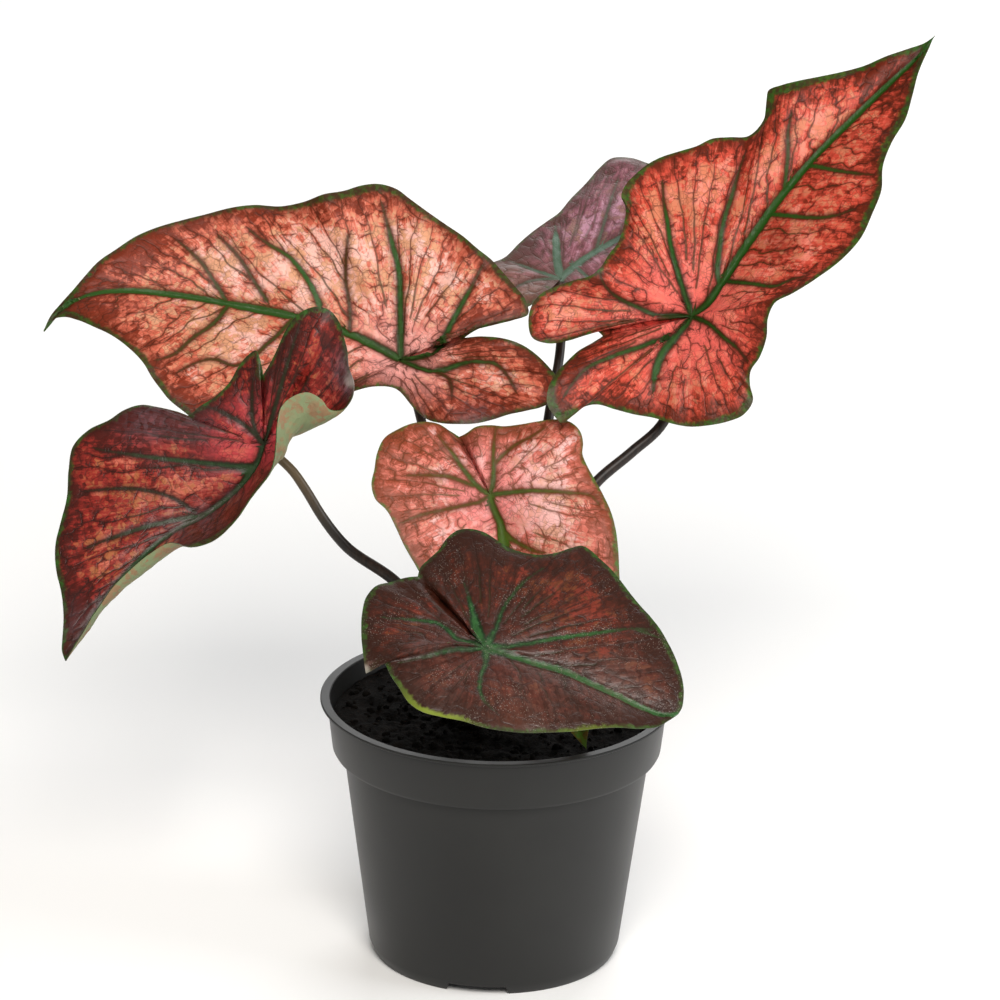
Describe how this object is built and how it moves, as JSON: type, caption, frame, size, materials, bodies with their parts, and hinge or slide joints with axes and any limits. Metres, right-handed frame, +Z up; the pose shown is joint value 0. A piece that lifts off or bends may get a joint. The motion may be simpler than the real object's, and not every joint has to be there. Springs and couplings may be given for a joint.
{
  "type": "potted caladium",
  "caption": "Caladium plant with waved arrow-shaped leaves, red and pink with green veins, on long dark stems in a round nursery pot of soil.",
  "frame": {"origin": "middle of the pot's flat foot", "axes": "+Z up, the plant faces -Y, +X to its right"},
  "size_m": [0.3016, 0.2158, 0.2998],
  "materials": {
    "pot": "satin dark grey thin-wall plastic",
    "soil": "moist black peat potting mix with small pale specks",
    "tuber": "brown papery tuber skin",
    "leaf_salmon": "thin leaf, pale salmon with dark green veins and a green edge",
    "leaf_coral": "thin leaf, coral red with dark green veins and a green edge",
    "leaf_crimson": "waxy leaf, dark crimson with a green edge and pale grey-green back",
    "leaf_dusky": "waxy leaf, dusky purple with a wide pale green vein",
    "leaf_pink": "thin leaf, pale pink with olive veins and a green edge",
    "leaf_maroon": "waxy leaf, dark maroon with emerald veins",
    "stem": "smooth dark brown to black leaf stalk"
  },
  "bodies": {
    "root": {"pot": "pot", "soil": "soil", "tuber": "tuber", "blade_upper_left": "leaf_salmon", "blade_upper_right": "leaf_coral", "blade_left": "leaf_crimson", "blade_back": "leaf_dusky", "blade_middle": "leaf_pink", "blade_front": "leaf_maroon", "stem_upper_left": "stem", "stem_upper_right": "stem", "stem_left": "stem", "stem_back": "stem", "stem_middle": "stem", "stem_front": "stem"}
  },
  "joints": []
}
